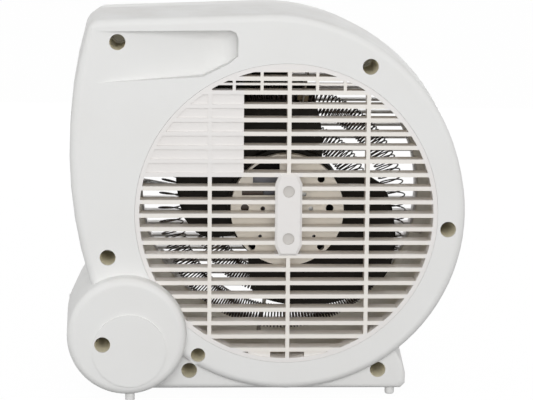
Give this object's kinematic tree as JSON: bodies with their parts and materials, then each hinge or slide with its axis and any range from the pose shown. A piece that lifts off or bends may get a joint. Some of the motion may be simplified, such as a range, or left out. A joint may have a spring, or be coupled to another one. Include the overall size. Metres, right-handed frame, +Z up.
{
  "type": "fan heater",
  "caption": "Upright fan heater with a snail-shaped two-part casing, round inlet and outlet grilles, a finger recess, an axial fan, open heating coils and front controls.",
  "frame": {"origin": "on the ground, under the middle of the heater's bounding box", "axes": "+X to the right seen from behind, +Y towards the warm air outlet, +Z up"},
  "size_m": [0.2566, 0.1466, 0.2474],
  "materials": {
    "white_plastic": "fine satin, moulded white",
    "ivory_plastic": "satin, slightly warm white",
    "outlet_plastic": "satin white, heat resistant",
    "knob_plastic": "satin white",
    "cover_plastic": "satin white",
    "duct_steel": "aluminised sheet, dull grey",
    "cream_plastic": "cream, satin",
    "black_plastic": "black, satin",
    "plated_steel": "zinc plated",
    "bearing_bronze": "sintered bronze",
    "electrical_steel": "laminated, varnished edges",
    "winding_tape": "copper under amber tape",
    "mica": "pressed mica, silky",
    "heating_wire": "oxidised resistance wire",
    "brass": "plain brass",
    "dark_phenolic": "dark moulded phenolic",
    "lamp_lens": "clear amber lens",
    "lamp_housing": "natural nylon"
  },
  "bodies": {
    "casing": {"rear_shell": "white_plastic", "front_shell": "white_plastic", "rear_grille": "ivory_plastic", "front_grille": "outlet_plastic", "outlet_baffle": "dark_phenolic", "fan_duct": "duct_steel", "wiring_cover": "cover_plastic", "motor_cover": "cream_plastic", "rear_bracket": "plated_steel", "front_bracket": "plated_steel", "rear_bearing": "bearing_bronze", "front_bearing": "bearing_bronze", "stator_core": "electrical_steel", "stator_winding": "winding_tape", "motor_mount_screws": "plated_steel", "motor_through_screws": "plated_steel", "mica_plate_rising": "mica", "mica_plate_falling": "mica", "heating_coil_inner": "heating_wire", "heating_coil_outer": "heating_wire", "heater_terminals": "brass", "thermal_cutout": "dark_phenolic", "thermal_fuse": "plated_steel", "selector_switch": "dark_phenolic", "selector_nut": "plated_steel", "thermostat_body": "dark_phenolic", "thermostat_blade": "plated_steel", "thermostat_nut": "plated_steel", "pilot_lamp": "lamp_lens", "pilot_lamp_holder": "lamp_housing", "terminal_block": "lamp_housing", "terminal_screws": "brass", "cord_bushing": "white_plastic", "cord_clamp": "white_plastic", "cord_clamp_screws": "plated_steel", "casing_screws": "plated_steel", "small_casing_screw": "plated_steel", "foot_rear_left": "white_plastic", "foot_rear_right": "white_plastic", "foot_front_left": "white_plastic", "foot_front_right": "white_plastic"},
    "fan": {"motor_rotor": "electrical_steel", "motor_shaft": "plated_steel", "impeller": "black_plastic", "impeller_clip": "plated_steel"},
    "selector": {"selector_knob": "knob_plastic", "selector_spindle": "plated_steel"},
    "thermostat": {"thermostat_knob": "knob_plastic", "thermostat_spindle": "plated_steel"}
  },
  "joints": [
    {"name": "fan_spin", "type": "hinge", "parent": "casing", "child": "fan", "pos_m": [0.01395, -0.02315, 0.1189], "axis": [0, 1, 0], "continuous": true},
    {"name": "selector_turn", "type": "hinge", "parent": "casing", "child": "selector", "pos_m": [-0.08822, 0.05685, 0.20494], "axis": [0, -1, 0], "range_deg": [0, 135]},
    {"name": "thermostat_turn", "type": "hinge", "parent": "casing", "child": "thermostat", "pos_m": [-0.08785, 0.05885, 0.0426], "axis": [0, -1, 0], "range_deg": [-135, 135]}
  ]
}
